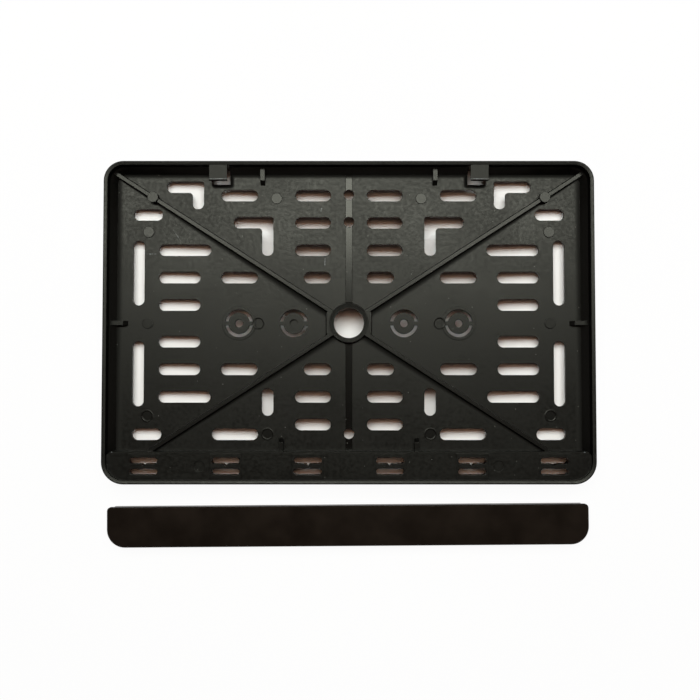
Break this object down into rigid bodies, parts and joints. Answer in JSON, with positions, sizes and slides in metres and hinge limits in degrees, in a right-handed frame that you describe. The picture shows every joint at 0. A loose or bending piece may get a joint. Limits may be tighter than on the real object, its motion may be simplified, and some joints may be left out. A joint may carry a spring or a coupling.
{
  "type": "number plate holder",
  "caption": "Moulded tray with a slotted, ribbed floor, a raised rim and hooks that holds a two-line number plate on a car, and the loose strip that snaps onto its lower ledge.",
  "frame": {"origin": "on the centre hole's axis, in the plane of the floor's back", "axes": "+X along the plate, to the right seen from the front; +Y towards the plate's upper edge; +Z out of the tray's open front"},
  "size_m": [0.3005, 0.2362, 0.015],
  "materials": {
    "tray_plastic": "moulded black, fine matte texture",
    "strip_plastic": "moulded black, smooth satin"
  },
  "bodies": {
    "root": {"holder_tray": "tray_plastic", "retaining_strip": "strip_plastic"}
  },
  "joints": []
}
